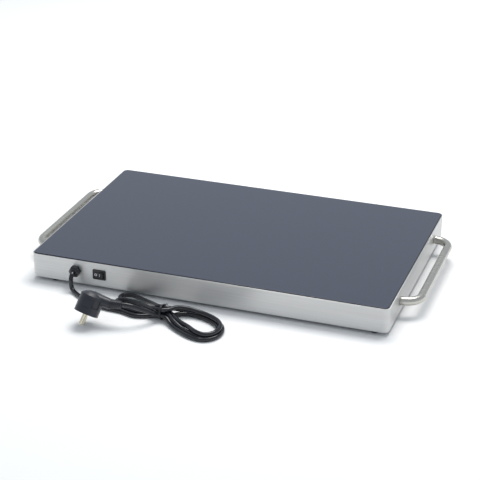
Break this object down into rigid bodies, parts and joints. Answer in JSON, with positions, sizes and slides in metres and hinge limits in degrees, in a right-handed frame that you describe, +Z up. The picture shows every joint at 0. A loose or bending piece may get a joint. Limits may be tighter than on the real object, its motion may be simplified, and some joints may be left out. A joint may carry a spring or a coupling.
{
  "type": "hot plate",
  "caption": "Flat glass-topped electric hot plate in a brushed steel shell, with bar handles, a rocker switch, a cable gland and a tied mains cord with an angled earthed plug.",
  "frame": {"origin": "on the surface the feet stand on, below the middle of the shell", "axes": "+Z is up through the glass; +X runs along the front towards the right-hand handle, as seen from the side with the switch; +Y points from that front to the back"},
  "size_m": [0.675, 0.5203, 0.0563],
  "materials": {
    "stainless": "horizontal brushed grain, satin",
    "handle_steel": "polished satin bar",
    "glass": "tempered, dark grey printed on its underside, glossy",
    "silicone": "black silicone joint",
    "zinc_sheet": "zinc-coated sheet",
    "mat_silicone": "red-brown silicone heating mat",
    "fibre_board": "pale mineral-fibre board",
    "screw_steel": "zinc-plated",
    "foot_rubber": "matte black",
    "gland_plastic": "black, slight sheen",
    "gland_rubber": "matte black",
    "switch_plastic": "black moulded",
    "rocker_plastic": "black moulded, pale O and I",
    "brass": "tinned brass",
    "block_plastic": "ivory moulded",
    "limiter_metal": "pressed can",
    "cord_rubber": "black sheath, soft sheen",
    "tie_plastic": "black coated wire",
    "plug_plastic": "black moulded, fine grain",
    "pin_metal": "nickel-plated",
    "core_brown": "brown insulation",
    "core_blue": "blue insulation",
    "core_green": "green-yellow insulation"
  },
  "bodies": {
    "plate": {"housing": "stainless", "handle_left": "handle_steel", "handle_right": "handle_steel", "glass_top": "glass", "glass_seal": "silicone", "glass_ledge": "zinc_sheet", "heater_tray": "zinc_sheet", "base_plate": "zinc_sheet", "heating_mat": "mat_silicone", "insulation_board": "fibre_board", "tray_screws": "screw_steel", "base_screws": "screw_steel", "foot_screws": "screw_steel", "foot_nuts": "screw_steel", "handle_screws": "screw_steel", "handle_washers": "screw_steel", "block_screws": "screw_steel", "limiter_screws": "screw_steel", "foot_front_left": "foot_rubber", "foot_front_right": "foot_rubber", "foot_rear_left": "foot_rubber", "foot_rear_right": "foot_rubber", "gland_body": "gland_plastic", "gland_nut": "gland_plastic", "gland_locknut": "gland_plastic", "gland_seal": "gland_rubber", "switch_body": "switch_plastic", "switch_terminals": "brass", "earth_stud": "brass", "earth_nut": "brass", "earth_tag": "brass", "terminal_block": "block_plastic", "thermal_limiter": "limiter_metal", "cord_inlet": "cord_rubber", "cord_lead": "cord_rubber", "cord_hank": "cord_rubber", "cord_tail": "cord_rubber", "cord_tie": "tie_plastic", "plug_case": "plug_plastic", "plug_pins": "pin_metal", "plug_earth_clips": "pin_metal", "core_live_supply": "core_brown", "core_live_switched": "core_brown", "core_live_heater": "core_brown", "core_neutral_supply": "core_blue", "core_neutral_heater": "core_blue", "core_earth": "core_green"},
    "rocker": {"switch_rocker": "rocker_plastic"}
  },
  "joints": [
    {"name": "rocker_pivot", "type": "hinge", "parent": "plate", "child": "rocker", "pos_m": [-0.1806, -0.1918, 0.02765], "axis": [0, 0, 1], "range_deg": [0, 20]}
  ]
}
